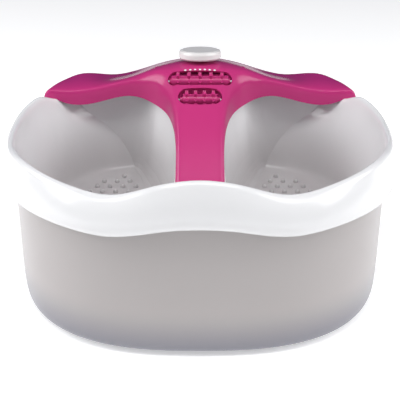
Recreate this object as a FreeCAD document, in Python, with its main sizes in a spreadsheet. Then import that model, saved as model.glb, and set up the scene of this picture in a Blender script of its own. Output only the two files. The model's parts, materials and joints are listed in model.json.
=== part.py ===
import FreeCAD, Part
import math
import os

import Sketcher

# Pedicure foot bath: one wide tub with two foot wells, a console over its back
# and down the divider, a mode knob, two massage rollers, and under the floor the
# heater, the air blower and the vibration motor.
# Frame: X to the user's right, Y away from the user, Z up, origin under the
# middle of the feet. Millimetres.

doc = FreeCAD.newDocument("foot_bath")
sheet = doc.addObject("Spreadsheet::Sheet", "Sizes")

DRIVING = [
    ("middle_y", 16.0, "Y of the widest line of the tub"),
    ("crest_half_width", 187.0, "rim crest, half width"),
    ("crest_front", 177.5, "rim crest, middle line to front"),
    ("crest_back", 147.0, "rim crest, middle line to back"),
    ("crest_round", 2.28, "rim crest, superellipse exponent at the front"),
    ("crest_round_back", 2.6, "rim crest, superellipse exponent at the back"),
    ("crest_height", 160.0, "rim crest above the ground at the sides"),
    ("lip_height", 127.0, "widest line of the rim at the back"),
    ("cover_seat", 16.5, "drop of the crest where the console cover lies on it"),
    ("cover_end", 118.7, "where that drop begins, degrees from the front"),
    ("floor_height", 58.0, "top of the well floors"),
    ("wall", 3.0, "moulded wall"),
    ("base_half_width", 183.0, "outer shell at the ground, half width"),
    ("base_front", 170.5, "outer shell at the ground, to front"),
    ("base_back", 145.0, "outer shell at the ground, to back"),
    ("base_round", 2.62, "outer shell at the ground, exponent"),
    ("shell_half_width", 184.5, "outer shell under the rim, half width"),
    ("shell_front", 178.0, "outer shell under the rim, to front"),
    ("shell_back", 149.0, "outer shell under the rim, to back"),
    ("base_height", 4.0, "underside of the outer shell"),
    ("deck_height", 146.0, "top of the deck under the console"),
    ("back_wall_y", 131.0, "back wall of the wells"),
    ("cover_wall", 2.6, "console cover wall"),
    ("cover_gap", 0.4, "gap between the cover and the deck"),
    ("nub_pitch", 14.3, "spacing of the floor nubs"),
    ("nub_radius", 2.5, "floor nub radius"),
    ("nub_rise", 4.0, "floor nub height"),
    ("knob_y", 128.0, "knob middle, Y"),
    ("knob_z", 190.8, "knob underside middle, Z"),
    ("knob_tilt", 10.0, "knob axis, degrees off the vertical, to the back"),
    ("knob_radius", 23.0, "knob radius"),
    ("knob_thick", 9.5, "knob height"),
    ("spindle_radius", 3.0, "switch spindle radius"),
    ("spindle_reach", 32.0, "switch spindle length"),
    ("roller_y", 79.0, "middle between the rollers, Y"),
    ("roller_z", 172.6, "middle between the rollers, Z"),
    ("roller_tilt", 23.8, "slope of the console under the rollers, degrees"),
    ("roller_half_gap", 13.4, "half the distance between roller axles"),
    ("roller_core", 6.4, "roller core radius"),
    ("roller_tip", 9.9, "roller radius over its nubs"),
    ("roller_hub", 3.4, "roller end hub radius"),
    ("rear_roller_length", 60.0, "rear roller length"),
    ("front_roller_length", 36.0, "front roller length"),
    ("rear_slot_length", 68.0, "rear roller slot length"),
    ("front_slot_length", 46.0, "front roller slot length"),
    ("slot_width", 22.8, "roller slot width"),
    ("axle_radius", 1.5, "roller axle radius"),
    ("running_gap", 0.05, "radial clearance of a turning fit"),
    ("foot_radius", 11.0, "rubber foot radius"),
    ("foot_x", 112.0, "rubber foot, X"),
    ("foot_front_y", -92.0, "front feet, Y"),
    ("foot_back_y", 112.0, "back feet, Y"),
    ("post_x", 122.0, "screw post, X"),
    ("post_front_y", -48.0, "front screw posts, Y"),
    ("post_back_y", 72.0, "back screw posts, Y"),
    ("post_radius", 5.0, "screw post radius"),
    ("screw_radius", 1.7, "screw shank radius"),
    ("blower_x", 88.0, "blower axis, X"),
    ("blower_y", -20.0, "blower axis, Y"),
    ("blower_radius", 33.0, "blower housing radius"),
    ("shaft_radius", 1.6, "motor shaft radius"),
    ("shaker_y", -62.0, "vibration motor axis, Y"),
    ("shaker_z", 25.0, "vibration motor axis, Z"),
    ("shaker_radius", 13.0, "vibration motor radius"),
    ("shaker_length", 42.0, "vibration motor length"),
    ("heater_x", 98.0, "heater plate middle, X"),
    ("heater_y", 34.0, "heater plate middle, Y"),
    ("heater_width", 74.0, "heater plate width"),
    ("heater_depth", 60.0, "heater plate depth"),
    ("heater_thick", 2.0, "heater plate thickness"),
    ("chamber_y", -82.0, "air chamber middle, Y"),
    ("chamber_width", 64.0, "air chamber width"),
    ("chamber_depth", 22.0, "air chamber depth"),
    ("chamber_thick", 7.0, "air chamber height"),
    ("gland_x", -46.0, "cord gland, X"),
    ("gland_z", 26.0, "cord gland, Z"),
    ("gland_bore", 3.6, "cord gland bore radius"),
    ("gland_length", 24.0, "cord gland length"),
]

for row, (alias, value, meaning) in enumerate(DRIVING, start=1):
    sheet.set("A%d" % row, meaning)
    sheet.set("B%d" % row, "%g" % value)
    sheet.setAlias("B%d" % row, alias)
doc.recompute()


def size(alias):
    return float(sheet.get(alias))


def cell(alias, times=1.0, plus=0.0):
    """A sheet value with the expression that keeps it bound to the sheet."""
    value = size(alias) * times + plus
    return value, "Sizes.%s * %g + %g" % (alias, times, plus)


def vector(x, y, z):
    return FreeCAD.Vector(x, y, z)


X_AXIS = vector(1, 0, 0)
Y_AXIS = vector(0, 1, 0)
Z_AXIS = vector(0, 0, 1)
SUBPARTS = []


def finished(thing, label, place=None):
    """Gives a sub-part its label and placement and lists it for export."""
    thing.Label = label
    if place is not None:
        thing.Placement = place
    SUBPARTS.append(thing)
    return thing


def at(x, y, z, axis=Z_AXIS, degrees=0.0):
    return FreeCAD.Placement(vector(x, y, z), FreeCAD.Rotation(axis, degrees))


# ---------------------------------------------------------------- primitives

def bind(thing, **sizes):
    for name, bound in sizes.items():
        if isinstance(bound, tuple):
            thing.setExpression(name, bound[1])
        else:
            setattr(thing, name, bound)
    return thing


def cylinder(name, radius, height, place=None):
    thing = bind(doc.addObject("Part::Cylinder", name), Radius=radius, Height=height)
    thing.Placement = place or at(0, 0, 0)
    return thing


def cone(name, radius, tip_radius, height, place=None):
    thing = doc.addObject("Part::Cone", name)
    bind(thing, Radius1=radius, Radius2=tip_radius, Height=height)
    thing.Placement = place or at(0, 0, 0)
    return thing


def box(name, length, width, height, place=None):
    thing = doc.addObject("Part::Box", name)
    bind(thing, Length=length, Width=width, Height=height)
    thing.Placement = place or at(0, 0, 0)
    return thing


def torus(name, radius, tube, place=None):
    thing = bind(doc.addObject("Part::Torus", name), Radius1=radius, Radius2=tube)
    thing.Placement = place or at(0, 0, 0)
    return thing


def joined(name, pieces):
    thing = doc.addObject("Part::MultiFuse", name)
    thing.Shapes = pieces
    return thing


def without(name, base, tools):
    tool = tools[0] if len(tools) == 1 else joined(name + "_tools", tools)
    thing = doc.addObject("Part::Cut", name)
    thing.Base = base
    thing.Tool = tool
    return thing


def grouped(name, pieces):
    thing = doc.addObject("Part::Compound", name)
    thing.Links = pieces
    return thing


# ------------------------------------------------------------------- bodies

def origin_plane(body, role):
    return next(f for f in body.Origin.OriginFeatures if f.Role == role)


def number(bound):
    return bound[0] if isinstance(bound, tuple) else bound


def pin_to(sketch, kind, geometry, point, bound):
    """Holds one coordinate of a sketch point at a number or a sheet value."""
    value = number(bound)
    axis = -2 if kind == "DistanceX" else -1
    if abs(value) < 1e-9:
        sketch.addConstraint(Sketcher.Constraint("PointOnObject", geometry, point, axis))
        return
    index = sketch.addConstraint(Sketcher.Constraint(kind, -1, 1, geometry, point, value))
    if isinstance(bound, tuple):
        sketch.setExpression("Constraints[%d]" % index, bound[1])


def outline_sketch(body, name, role, corners, circles=()):
    """A closed polygon, with optional round holes, on one of the body's own planes."""
    sketch = body.newObject("Sketcher::SketchObject", name)
    sketch.AttachmentSupport = [(origin_plane(body, role), "")]
    sketch.MapMode = "FlatFace"
    count = len(corners)
    for i in range(count):
        start = corners[i]
        end = corners[(i + 1) % count]
        sketch.addGeometry(Part.LineSegment(vector(number(start[0]), number(start[1]), 0),
                                            vector(number(end[0]), number(end[1]), 0)))
    for i in range(count):
        sketch.addConstraint(Sketcher.Constraint("Coincident", i, 2, (i + 1) % count, 1))
    for i, (across, up) in enumerate(corners):
        pin_to(sketch, "DistanceX", i, 1, across)
        pin_to(sketch, "DistanceY", i, 1, up)
    for across, up, radius in circles:
        middle = vector(number(across), number(up), 0)
        index = sketch.addGeometry(Part.Circle(middle, Z_AXIS, number(radius)))
        pin_to(sketch, "DistanceX", index, 3, across)
        pin_to(sketch, "DistanceY", index, 3, up)
        limit = sketch.addConstraint(Sketcher.Constraint("Radius", index, number(radius)))
        if isinstance(radius, tuple):
            sketch.setExpression("Constraints[%d]" % limit, radius[1])
    return sketch


def turned_body(name, corners):
    """A body turned about its own Z from a half section given as (radius, height)."""
    body = doc.addObject("PartDesign::Body", name)
    sketch = outline_sketch(body, name + "_section", "XZ_Plane", corners)
    turn = body.newObject("PartDesign::Revolution", name + "_turn")
    turn.Profile = sketch
    turn.ReferenceAxis = (sketch, ["V_Axis"])
    turn.Angle = 360.0
    body.Tip = turn
    return body


def plate_body(name, corners, thickness, circles=()):
    """A body padded up from an outline on its own XY plane."""
    body = doc.addObject("PartDesign::Body", name)
    sketch = outline_sketch(body, name + "_outline", "XY_Plane", corners, circles)
    pad = body.newObject("PartDesign::Pad", name + "_pad")
    pad.Profile = sketch
    bind(pad, Length=thickness)
    body.Tip = pad
    return body


def rectangle(half_length, half_width):
    """Corners of a rectangle about the origin, from two (value, expression) pairs."""
    minus_length = (-half_length[0], "-(%s)" % half_length[1])
    minus_width = (-half_width[0], "-(%s)" % half_width[1])
    return [(minus_length, minus_width), (half_length, minus_width),
            (half_length, half_width), (minus_length, half_width)]


# --------------------------------------------------------- free-form surfaces

RING_STATIONS = 72
CABLE_Y = 112.0


def smooth_curve(knots):
    """A smooth function through a few (position, value) pairs, flat past the ends."""
    places = [k[0] for k in knots]
    values = [k[1] for k in knots]
    last = len(knots) - 1

    def slope(i):
        if i == 0 or i == last:
            return 0.0
        return (values[i + 1] - values[i - 1]) / (places[i + 1] - places[i - 1])

    def curve(position):
        if position <= places[0]:
            return values[0]
        if position >= places[last]:
            return values[last]
        i = max(n for n in range(last) if places[n] <= position)
        step = places[i + 1] - places[i]
        f = (position - places[i]) / step
        return (values[i] * (1 + 2 * f) * (1 - f) ** 2
                + slope(i) * step * f * (1 - f) ** 2
                + values[i + 1] * f * f * (3 - 2 * f)
                + slope(i + 1) * step * f * f * (f - 1))

    return curve


def ring_radius(angle, half_width, front, back, round_front, round_back):
    """Superellipse radius from the middle of the tub, at an angle about Z."""
    across = abs(math.cos(angle))
    along = abs(math.sin(angle))
    depth, power = (back, round_back) if math.sin(angle) > 0 else (front, round_front)
    return ((across / half_width) ** power + (along / depth) ** power) ** (-1.0 / power)


def ring_point(angle, radius, height):
    return vector(radius * math.cos(angle), size("middle_y") + radius * math.sin(angle), height)


def from_front(angle):
    """Degrees round from the front middle, 0 to 180 on either side."""
    return abs(math.degrees(math.atan2(math.cos(angle), -math.sin(angle))))


def crest_radius(angle, inset):
    return ring_radius(angle, size("crest_half_width") - inset, size("crest_front") - inset,
                       size("crest_back") - inset, size("crest_round"), size("crest_round_back"))


# The rim by degrees from the front middle: rise of its crest above the crest height,
# rise of its widest line above the lip height, and reach of the lip beyond the crest.
crest_rise = smooth_curve([(0.0, 30.0), (8.0, 27.2), (14.0, 21.8), (19.0, 15.2), (24.0, 10.4),
                           (30.0, 9.0), (36.0, 10.4), (43.0, 11.4), (50.0, 11.8), (57.0, 11.4),
                           (65.0, 8.8), (75.0, 4.0), (90.0, 0.6), (104.0, 0.2), (112.0, 1.0),
                           (118.0, 2.5), (122.0, 3.0)])
lip_rise = smooth_curve([(0.0, 31.8), (9.0, 29.6), (16.0, 24.2), (25.0, 18.2), (36.0, 17.6),
                         (48.0, 15.8), (60.0, 10.5), (72.0, 5.0), (88.0, 1.0), (105.0, 0.0)])
lip_reach = smooth_curve([(30.0, 13.0), (48.0, 11.0), (62.0, 8.0), (72.0, 8.4), (82.0, 10.0),
                          (105.0, 10.5), (180.0, 12.0)])


def crest_z(angle):
    turn = from_front(angle)
    under_cover = 1.0 / (1.0 + math.exp(-(turn - size("cover_end")) / 1.2))
    return size("crest_height") + crest_rise(turn) - size("cover_seat") * under_cover


def lip_z(angle):
    return size("lip_height") + lip_rise(from_front(angle))


def surface(poles, ring):
    """A cubic B-spline surface over a grid of poles; a ring closes on itself."""
    rows = len(poles)
    columns = len(poles[0])
    row_knots = [float(k) for k in range(rows - 2)]
    row_mults = [4] + [1] * (rows - 4) + [4]
    if ring:
        column_knots = [float(k) for k in range(columns + 1)]
        column_mults = [1] * (columns + 1)
    else:
        column_knots = [float(k) for k in range(columns - 2)]
        column_mults = [4] + [1] * (columns - 4) + [4]
    result = Part.BSplineSurface()
    result.buildFromPolesMultsKnots(poles, row_mults, column_mults, row_knots, column_knots,
                                    False, ring, 3, 3)
    return result


def solid_from(faces):
    shell = Part.makeShell(faces)
    shell.sewShape()
    solid = Part.makeSolid(shell)
    if solid.Volume < 0:
        solid.reverse()
    return solid


def ring_solid(profile):
    """A solid whose skin runs once through the profile, all the way round the tub.

    profile(angle) gives poles from one flat disc, over the edge, to the other.
    """
    angles = [2.0 * math.pi * i / RING_STATIONS for i in range(RING_STATIONS)]
    columns = [profile(angle) for angle in angles]
    poles = [[column[j] for column in columns] for j in range(len(columns[0]))]
    skin = surface(poles, True)
    first, last = skin.bounds()[0], skin.bounds()[1]
    faces = [skin.toShape()]
    for end in (first, last):
        rim = skin.uIso(end).toShape()
        faces.append(Part.Face(Part.Wire([rim])))
    return solid_from(faces)


def sheet_solid(outer, inner):
    """A thin solid between two open grids of poles with the same layout."""
    over = surface(outer, False)
    under = surface(inner, False)
    faces = [over.toShape(), under.toShape()]
    bounds = over.bounds()
    for end in bounds[0:2]:
        faces.append(Part.makeRuledSurface(over.uIso(end).toShape(), under.uIso(end).toShape()))
    for end in bounds[2:4]:
        faces.append(Part.makeRuledSurface(over.vIso(end).toShape(), under.vIso(end).toShape()))
    return solid_from(faces)


# -------------------------------------------------------------------- basin

def basin_profile(angle):
    """Well floor, inner wall, crest, bulging rim, rolled lip and back down outside."""
    top = crest_z(angle)
    lip = lip_z(angle)
    floor = size("floor_height")
    wall = size("wall")
    reach = lip_reach(from_front(angle))
    drop = top - lip
    inner = [(58.0, floor), (48.0, floor), (38.0, floor), (31.5, floor + 1.0), (28.0, floor + 5.0),
             (25.5, floor + 14.0), (20.0, floor + 38.0), (12.5, floor + 66.0),
             (7.0, top - 16.0), (5.2, top - 7.0), (4.2, top - 2.2), (2.2, top),
             (-0.6, top - 0.2), (-3.2, top - 2.6)]
    skirt = [(-0.36 * reach, top - 0.18 * drop), (-0.64 * reach, top - 0.40 * drop),
             (-0.85 * reach, top - 0.66 * drop), (-0.97 * reach, lip + 3.0), (-reach, lip - 1.0),
             (-0.94 * reach, lip - 5.5), (-0.80 * reach, lip - 9.5), (-0.60 * reach, lip - 12.0),
             (-0.46 * reach, lip - 12.4), (-0.42 * reach, lip - 10.5)]
    under = [(-0.52 * reach, lip - 6.5), (-0.64 * reach, lip - 1.0),
             (-0.60 * reach, lip + 0.25 * drop), (-0.36 * reach, top - 0.52 * drop),
             (-1.2, top - 7.0), (0.6, top - 5.4), (2.0, top - 8.0), (3.6, top - 16.0)]
    outer = [(12.5 - wall, floor + 66.0), (20.0 - wall, floor + 38.0), (25.5 - wall, floor + 13.0),
             (27.5 - wall, floor + 2.5), (32.0 - wall, floor - wall + 0.6), (40.0, floor - wall),
             (48.0, floor - wall), (58.0, floor - wall)]
    return [ring_point(angle, crest_radius(angle, inset), z)
            for inset, z in inner + skirt + under + outer]


def well_space(inset, low, high):
    """The room inside the tub wall, as a solid, from one level to another."""
    def profile(angle):
        levels = [(25.5, 72.0), (20.0, 96.0), (12.5, 124.0), (7.0, 144.0), (5.0, 160.0)]
        wall_line = smooth_curve([(z, d) for d, z in levels])
        heights = [low + (high - low) * i / 9.0 for i in range(10)]
        return [ring_point(angle, crest_radius(angle, wall_line(z) + inset), z) for z in heights]
    return ring_solid(profile)


ramp_z = smooth_curve([(-104.0, 60.5), (-60.0, 91.0), (-22.0, 117.0), (7.0, 138.0), (29.0, 153.0),
                       (64.0, 172.5), (89.0, 184.0), (112.0, 189.6), (140.0, 187.0),
                       (172.0, 178.5)])
divider_top = smooth_curve([(-110.0, 22.4), (8.0, 20.8), (31.0, 22.0), (60.0, 27.2), (78.0, 33.2),
                            (95.0, 41.0), (107.0, 48.0)])
divider_foot = smooth_curve([(-110.0, 40.0), (0.0, 44.0), (40.0, 52.0), (77.0, 60.0),
                             (107.0, 67.0)])


def divider_outline(spread, inset, height):
    """Plan of the divider and the back deck: spread 1 at the floor, 0 at the top."""
    def half_width(y):
        top = divider_top(y)
        return top + (divider_foot(y) - top) * spread - inset
    back = size("back_wall_y") + inset
    right = []
    for y in (-112.0, -80.0, -40.0, 0.0, 30.0, 60.0, 78.0, 94.0, 104.0):
        right.append(vector(half_width(y), y, height))
    shoulder = half_width(107.0)
    right.append(vector(shoulder + 4.0, back - 16.0, height))
    right.append(vector(shoulder + 12.0, back - 5.5, height))
    right.append(vector(shoulder + 26.0, back - 0.8, height))
    right.append(vector(shoulder + 50.0, back, height))
    right.append(vector(190.0, back, height))
    left = [vector(-p.x, p.y, p.z) for p in reversed(right)]
    side = Part.BSplineCurve()
    side.interpolate(right)
    other = Part.BSplineCurve()
    other.interpolate(left)
    behind = size("middle_y") + size("crest_back") + 2.0
    corner = vector(190.0, behind, height)
    far = vector(-190.0, behind, height)
    edges = [side.toShape(), Part.LineSegment(right[-1], corner).toShape(),
             Part.LineSegment(corner, far).toShape(), Part.LineSegment(far, left[0]).toShape(),
             other.toShape(), Part.LineSegment(left[-1], right[0]).toShape()]
    return Part.Wire(edges)


def divider_block(inset, low):
    """The divider and deck as a drafted block that flares into the floor."""
    floor = size("floor_height")
    levels = [(1.05, low), (1.0, floor), (0.80, floor + 2.5), (0.66, floor + 7.0),
              (0.55, floor + 14.0), (0.42, floor + 28.0), (0.20, floor + 58.0), (0.0, 150.0)]
    wires = [divider_outline(spread, inset, z) for spread, z in levels]
    return Part.makeLoft(wires, True, True)


def under_ramp(drop, high):
    """A block under the sloping top of the divider, level at the deck."""
    low = 30.0
    steps = [-112.0, -90.0, -60.0, -30.0, 0.0, 12.0]
    points = [vector(-200.0, y, ramp_z(y) - drop) for y in steps]
    slope = Part.BSplineCurve()
    slope.interpolate(points)
    start = points[0]
    end = points[-1]
    back = vector(-200.0, 200.0, high)
    knee = vector(-200.0, 26.0, high)
    bottom_back = vector(-200.0, 200.0, low)
    bottom_front = vector(-200.0, -112.0, low)
    edges = [slope.toShape(), Part.LineSegment(end, knee).toShape(),
             Part.LineSegment(knee, back).toShape(), Part.LineSegment(back, bottom_back).toShape(),
             Part.LineSegment(bottom_back, bottom_front).toShape(),
             Part.LineSegment(bottom_front, start).toShape()]
    return Part.Face(Part.Wire(edges)).extrude(vector(400.0, 0, 0))


def floor_nub_places():
    """Staggered rows of nubs over both well floors, clear of the walls."""
    pitch = size("nub_pitch")
    row_step = pitch * math.sqrt(3.0) / 2.0
    places = []
    for row in range(-9, 10):
        y = 4.0 + row * row_step
        for column in range(2, 11):
            x = (column + 0.5 * (row % 2)) * pitch
            angle = math.atan2(y - size("middle_y"), x)
            reach = math.hypot(x, y - size("middle_y"))
            clear_of_wall = reach < crest_radius(angle, 43.0) and y < size("back_wall_y") - 12.0
            clear_of_divider = x > divider_foot(y) + 9.0
            over_chamber = abs(y - size("chamber_y")) < 8.0
            if clear_of_wall and clear_of_divider and not over_chamber:
                places.append((x, y))
                places.append((-x, y))
    return places


def floor_nubs():
    radius = size("nub_radius")
    rise = size("nub_rise")
    floor = size("floor_height")
    shapes = []
    for x, y in floor_nub_places():
        stem = Part.makeCylinder(radius, rise - radius + 1.2, vector(x, y, floor - 1.2))
        dome = Part.makeSphere(radius, vector(x, y, floor + rise - radius), Z_AXIS, 0, 90, 360)
        shapes.append(stem.fuse(dome).removeSplitter())
    return shapes


def post_places():
    x = size("post_x")
    return [(side * x, y) for y in (size("post_front_y"), size("post_back_y")) for side in (-1, 1)]


def air_hole_places():
    return [(side * size("heater_x") + step * 12.0, size("chamber_y"))
            for side in (-1, 1) for step in (-2, -1, 0, 1, 2)]


def cover_boss_places():
    return [(-104.0, 139.5), (104.0, 139.5), (-45.0, 121.0), (45.0, 121.0)]


def make_basin():
    floor = size("floor_height")
    wall = size("wall")
    deck = size("deck_height")
    tub = ring_solid(basin_profile)
    block = divider_block(0.0, floor - wall + 0.2)
    block = block.common(under_ramp(7.0, deck))
    block = block.common(well_space(-1.4, floor - wall, deck + 2.0))
    hollow = divider_block(wall, floor - wall - 8.0)
    hollow = hollow.common(under_ramp(7.0 + wall * 1.25, deck - wall))
    hollow = hollow.common(well_space(-wall - 0.2, floor - wall - 10.0, deck + 2.0))
    shape = tub.fuse(block).cut(hollow)
    posts = [Part.makeCylinder(size("post_radius"), floor - 9.0, vector(x, y, 7.4))
             for x, y in post_places()]
    shape = shape.multiFuse(posts + floor_nubs())
    pilots = [Part.makeCylinder(size("screw_radius"), 24.0, vector(x, y, 7.0))
              for x, y in post_places()]
    jets = [Part.makeCylinder(0.7, wall + 2.0, vector(x, y, floor - wall - 1.0))
            for x, y in air_hole_places()]
    holes = [Part.makeCylinder(size("screw_radius") + 0.4, 12.0, vector(x, y, deck - 8.0))
             for x, y in cover_boss_places()]
    cable = Part.makeCylinder(4.0, 20.0, vector(0, CABLE_Y, deck - 10.0))
    shape = shape.cut(pilots + jets + holes + [cable])
    feature = doc.addObject("Part::Feature", "basin")
    feature.Shape = shape
    return finished(feature, "basin")


# -------------------------------------------------------------- outer shell

def shell_radius(angle, z, inset):
    """Plan of the outer shell: squarer and smaller at the ground than at the top."""
    f = max(0.0, min(1.0, (z - size("base_height")) / 146.0))

    def between(low, high):
        return low + (high - low) * f

    return ring_radius(angle,
                       between(size("base_half_width"), size("shell_half_width")) - inset,
                       between(size("base_front"), size("shell_front")) - inset,
                       between(size("base_back"), size("shell_back")) - inset,
                       between(size("base_round"), size("crest_round")),
                       size("crest_round_back"))


def shell_profile(angle):
    base = size("base_height")
    wall = size("wall")
    top = lip_z(angle) - 4.0
    middle = 0.5 * (base + top)
    outer = [(70.0, base), (50.0, base), (14.0, base), (5.0, base + 0.3), (1.6, base + 5.0),
             (0.6, base + 14.0), (0.0, base + 32.0), (0.0, middle), (0.0, top - 24.0),
             (0.0, top - 6.0), (0.2, top)]
    inner = [(wall - 0.2, top), (wall, top - 6.0), (wall, top - 24.0), (wall, middle),
             (wall, base + 32.0), (wall + 0.6, base + 16.0), (wall + 1.8, base + 7.5),
             (wall + 5.0, base + wall + 0.4), (wall + 13.0, base + wall), (50.0, base + wall),
             (70.0, base + wall)]
    return [ring_point(angle, shell_radius(angle, z, inset), z) for inset, z in outer + inner]


def bracket_screw_places():
    return [(x, size("shaker_y") + y) for x in (-19.0, 19.0) for y in (-17.0, 17.0)]


def foot_places():
    x = size("foot_x")
    return [("front_left_foot", -x, size("foot_front_y")),
            ("front_right_foot", x, size("foot_front_y")),
            ("back_left_foot", -x, size("foot_back_y")),
            ("back_right_foot", x, size("foot_back_y"))]


def make_outer_shell():
    shape = ring_solid(shell_profile)
    cuts = [Part.makeCylinder(size("screw_radius") + 0.4, 8.0, vector(x, y, 1.0))
            for x, y in post_places()]
    cuts += [Part.makeCylinder(4.2, 8.0, vector(x, y, 1.0)) for label, x, y in foot_places()]
    cuts.append(Part.makeCylinder(7.2, 40.0, vector(size("gland_x"), 140.0, size("gland_z")),
                                  Y_AXIS))
    for step in range(-3, 4):
        cuts.append(Part.makeBox(3.0, 34.0, 8.0, vector(size("blower_x") + step * 8.0 - 1.5,
                                                        size("blower_y") - 17.0, 1.0)))
    cuts += [Part.makeCylinder(1.2, 4.0, vector(x, y, 5.0)) for x, y in bracket_screw_places()]
    shape = shape.cut(cuts)
    feature = doc.addObject("Part::Feature", "outer_shell")
    feature.Shape = shape
    return finished(feature, "outer_shell")


# ------------------------------------------------------------ console cover

# The cover's lower edge in plan, from the front tip up the divider and along the
# wing, as sections: end point, inward direction of the section, middle point.
edge_x = smooth_curve([(0.0, 26.0), (0.25, 25.0), (0.40, 24.4), (0.50, 26.4), (0.58, 31.0),
                       (0.64, 37.5), (0.70, 49.0), (0.76, 66.0), (0.84, 96.0), (0.92, 131.0),
                       (1.0, 163.0)])
edge_y = smooth_curve([(0.0, -100.0), (0.25, -30.0), (0.40, 8.0), (0.50, 33.0), (0.58, 60.0),
                       (0.64, 80.0), (0.70, 97.0), (0.76, 107.0), (0.84, 110.5), (0.92, 111.0),
                       (1.0, 111.0)])
middle_line = smooth_curve([(0.0, -100.0), (0.25, -30.0), (0.40, 8.0), (0.50, 33.0), (0.58, 62.0),
                            (0.64, 85.0), (0.70, 104.0), (0.76, 120.0), (0.84, 138.0),
                            (0.92, 154.0), (1.0, 170.0)])
inward_turn = smooth_curve([(0.50, 0.0), (0.58, 10.0), (0.64, 24.0), (0.70, 48.0), (0.76, 76.0),
                            (0.84, 88.0), (1.0, 90.0)])
lower_edge_z = smooth_curve([(0.0, 58.6), (0.08, 70.5), (0.25, 104.0), (0.40, 133.0), (0.50, 144.5),
                             (0.58, 147.0), (0.64, 148.0), (0.70, 149.5), (0.76, 153.8),
                             (0.80, 154.4), (0.84, 150.8), (0.88, 145.6), (0.92, 142.6),
                             (0.955, 144.4), (0.975, 149.6), (1.0, 151.2)])
crease_inset = smooth_curve([(0.0, 8.5), (0.40, 6.6), (0.50, 5.6), (0.64, 3.2), (0.76, 3.0),
                             (1.0, 3.5)])

# Height of the cover's top: along the middle line, and across the wings at the
# fascia and at the back edge.
fascia_crest = smooth_curve([(0.0, 189.0), (42.0, 185.5), (55.0, 181.0), (65.0, 177.0),
                             (76.0, 173.4), (92.0, 169.5), (105.0, 165.6), (120.0, 162.2),
                             (134.0, 159.9), (148.0, 159.6), (163.0, 161.0)])
back_crest = smooth_curve([(0.0, 178.5), (26.0, 176.0), (57.0, 168.5), (74.0, 160.0),
                           (90.0, 156.5), (104.0, 158.0), (119.0, 162.2), (132.0, 166.0),
                           (145.0, 162.0), (163.0, 159.5)])
shoulder_drop = smooth_curve([(0.55, 0.0), (0.59, 1.0), (0.63, 3.0), (0.68, 5.0), (0.72, 4.5),
                              (0.76, 2.5), (0.80, 0.0)])
side_fall = smooth_curve([(20.0, 0.0), (53.0, 1.5), (70.0, 3.0), (88.0, 5.0), (106.0, 13.0)])
half_span = smooth_curve([(20.0, 26.0), (53.0, 29.0), (70.0, 33.0), (88.0, 42.0), (106.0, 65.0)])


def cover_top(x, y):
    """Height of the console cover's top surface."""
    if y <= 106.0:
        return ramp_z(y) - side_fall(y) * min(1.5, abs(x) / half_span(y)) ** 3
    f = min(1.0, (y - 106.0) / 64.0)
    ease = f * f * (3.0 - 2.0 * f)
    middle_rise = ramp_z(y) - (ramp_z(106.0) + (ramp_z(170.0) - ramp_z(106.0)) * ease)
    return (fascia_crest(abs(x)) * (1.0 - ease) + back_crest(abs(x)) * ease
            + middle_rise * math.exp(-(x / 45.0) ** 2))


rim_fall = smooth_curve([(-12.0, -19.0), (-11.0, -14.5), (-8.6, -9.2), (-5.5, -4.8), (-3.2, -2.3),
                         (-0.6, -0.1), (2.0, 0.0)])


def rim_height_at(point):
    """Top of the rim under the cover's back band, at a place in plan."""
    angle = math.atan2(point.y - size("middle_y"), point.x)
    reach = math.hypot(point.x, point.y - size("middle_y"))
    return crest_z(angle) + rim_fall(crest_radius(angle, 0.0) - reach)


def cover_half_section(s, skin):
    """Half a cross-section of the cover, from its lower edge to the middle line."""
    end = vector(edge_x(s), edge_y(s), 0)
    middle = vector(0, middle_line(s), 0)
    turn = math.radians(inward_turn(s))
    inward = vector(-math.cos(turn), math.sin(turn), 0)
    span = (end - middle).Length
    grip = 0.36 * span if s < 0.7 else 0.30 * span
    first = end + inward * grip
    second = middle + vector(0.62 * (end.x if s > 0.7 else 0.55 * end.x), 0, 0)
    low = lower_edge_z(s)
    inset = crease_inset(s)

    def plan(f):
        return (end * (1 - f) ** 3 + first * (3 * f * (1 - f) ** 2)
                + second * (3 * f * f * (1 - f)) + middle * f ** 3)

    crease = end + inward * inset
    drop = shoulder_drop(s)
    crest = cover_top(crease.x, crease.y) - drop
    rise = crest - low
    points = []
    for part, height in ((0.0, 0.0), (0.10, 0.30), (0.28, 0.62), (0.62, 0.88)):
        p = end + inward * (inset * part + skin)
        points.append(vector(p.x, p.y, low + rise * height - (skin if part > 0.5 else 0.0)))
    p = end + inward * (inset * 1.25 + skin)
    points.append(vector(p.x, p.y, cover_top(p.x, p.y) - 0.5 - 0.8 * drop - skin))
    for f in (0.16, 0.26, 0.38, 0.50, 0.62, 0.74, 0.87, 1.0):
        start = (inset * 1.25 + skin) / span
        g = start + (1.0 - start) * f
        p = plan(g if f < 1.0 else 1.0)
        shoulder = 0.12 * drop if f < 0.2 else 0.0
        points.append(vector(p.x, p.y, cover_top(p.x, p.y) - shoulder - skin))
    return points


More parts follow.
